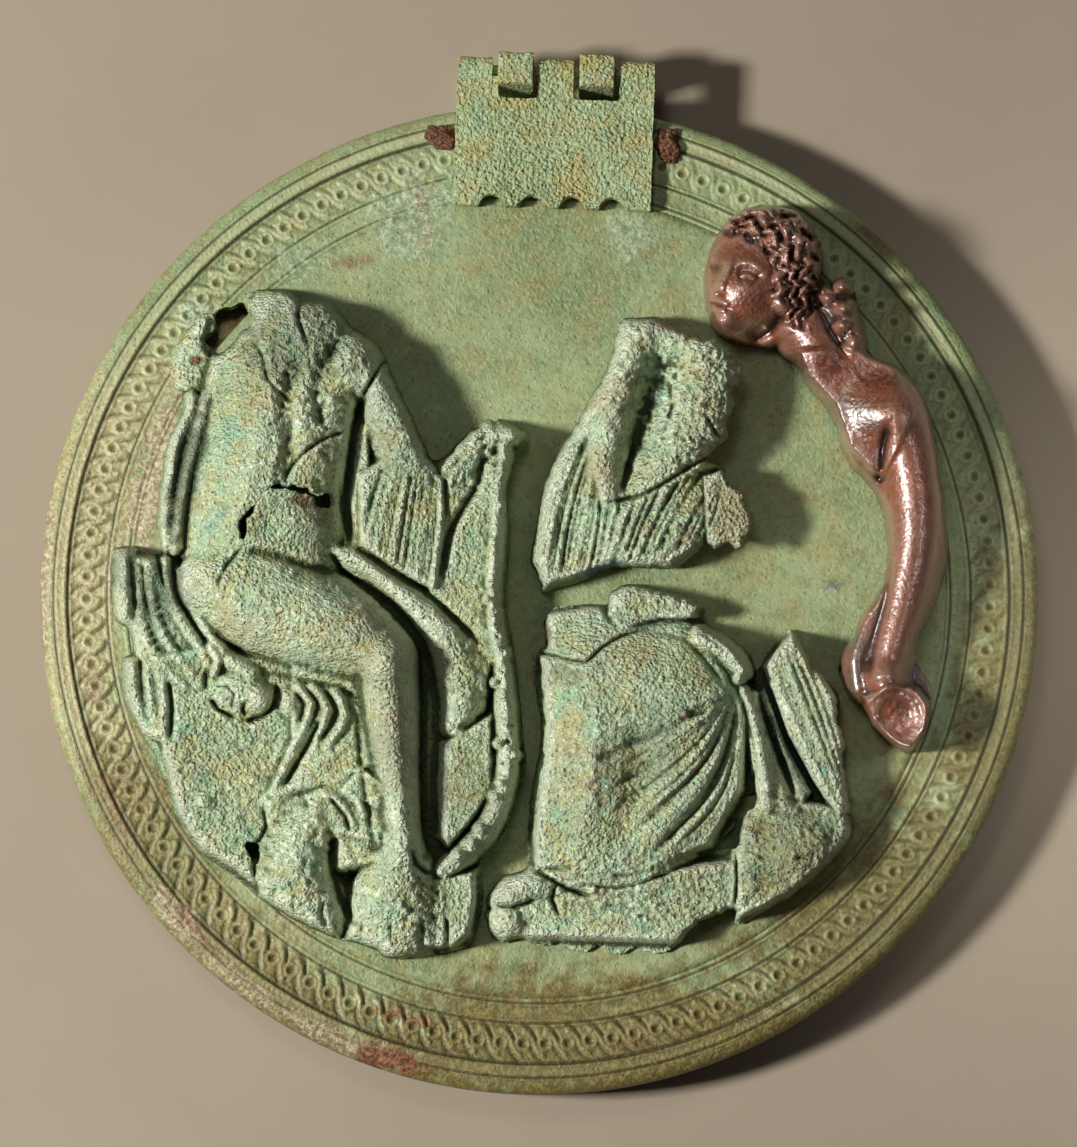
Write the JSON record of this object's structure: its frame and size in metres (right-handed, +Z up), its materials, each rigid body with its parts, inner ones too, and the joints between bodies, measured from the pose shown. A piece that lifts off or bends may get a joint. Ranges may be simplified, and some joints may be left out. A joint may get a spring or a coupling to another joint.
{
  "type": "folding box mirror",
  "caption": "Round bronze mirror disc with a hinged cover that folds flat over its polished face and carries hollow fragments of beaten high relief.",
  "frame": {"origin": "middle of the boss under the mirror disc, on the table that the closed mirror lies on", "axes": "+Z up through the cover towards the relief, +Y from the middle towards the hinge, +X to the right as the relief is seen"},
  "size_m": [0.17, 0.178, 0.0338],
  "materials": {
    "mirror_bronze": "dull polished bronze with a thin green patina",
    "cover_patina": "smooth olive to golden brown patina with green crusts and red-brown spots",
    "hinge_patina": "rough pale green patina with brown lumps",
    "relief_patina": "granular sage green patina with tan and dark green mottling",
    "cleaned_bronze": "cleaned dark reddish-brown bronze, semi-gloss"
  },
  "bodies": {
    "mirror": {"mirror_disc": "mirror_bronze", "lower_hinge_bracket": "hinge_patina", "hinge_pin": "hinge_patina"},
    "cover": {"cover_disc": "cover_patina", "cover_hinge_plate": "hinge_patina", "relief_seated_figure": "relief_patina", "relief_torso_fragment": "relief_patina", "relief_drapery_fragment": "relief_patina", "relief_head_and_arm": "cleaned_bronze"}
  },
  "joints": [
    {"name": "cover_hinge", "type": "hinge", "parent": "mirror", "child": "cover", "pos_m": [0, 0.09, 0.0133], "axis": [-1, 0, 0], "range_deg": [0, 175]}
  ]
}
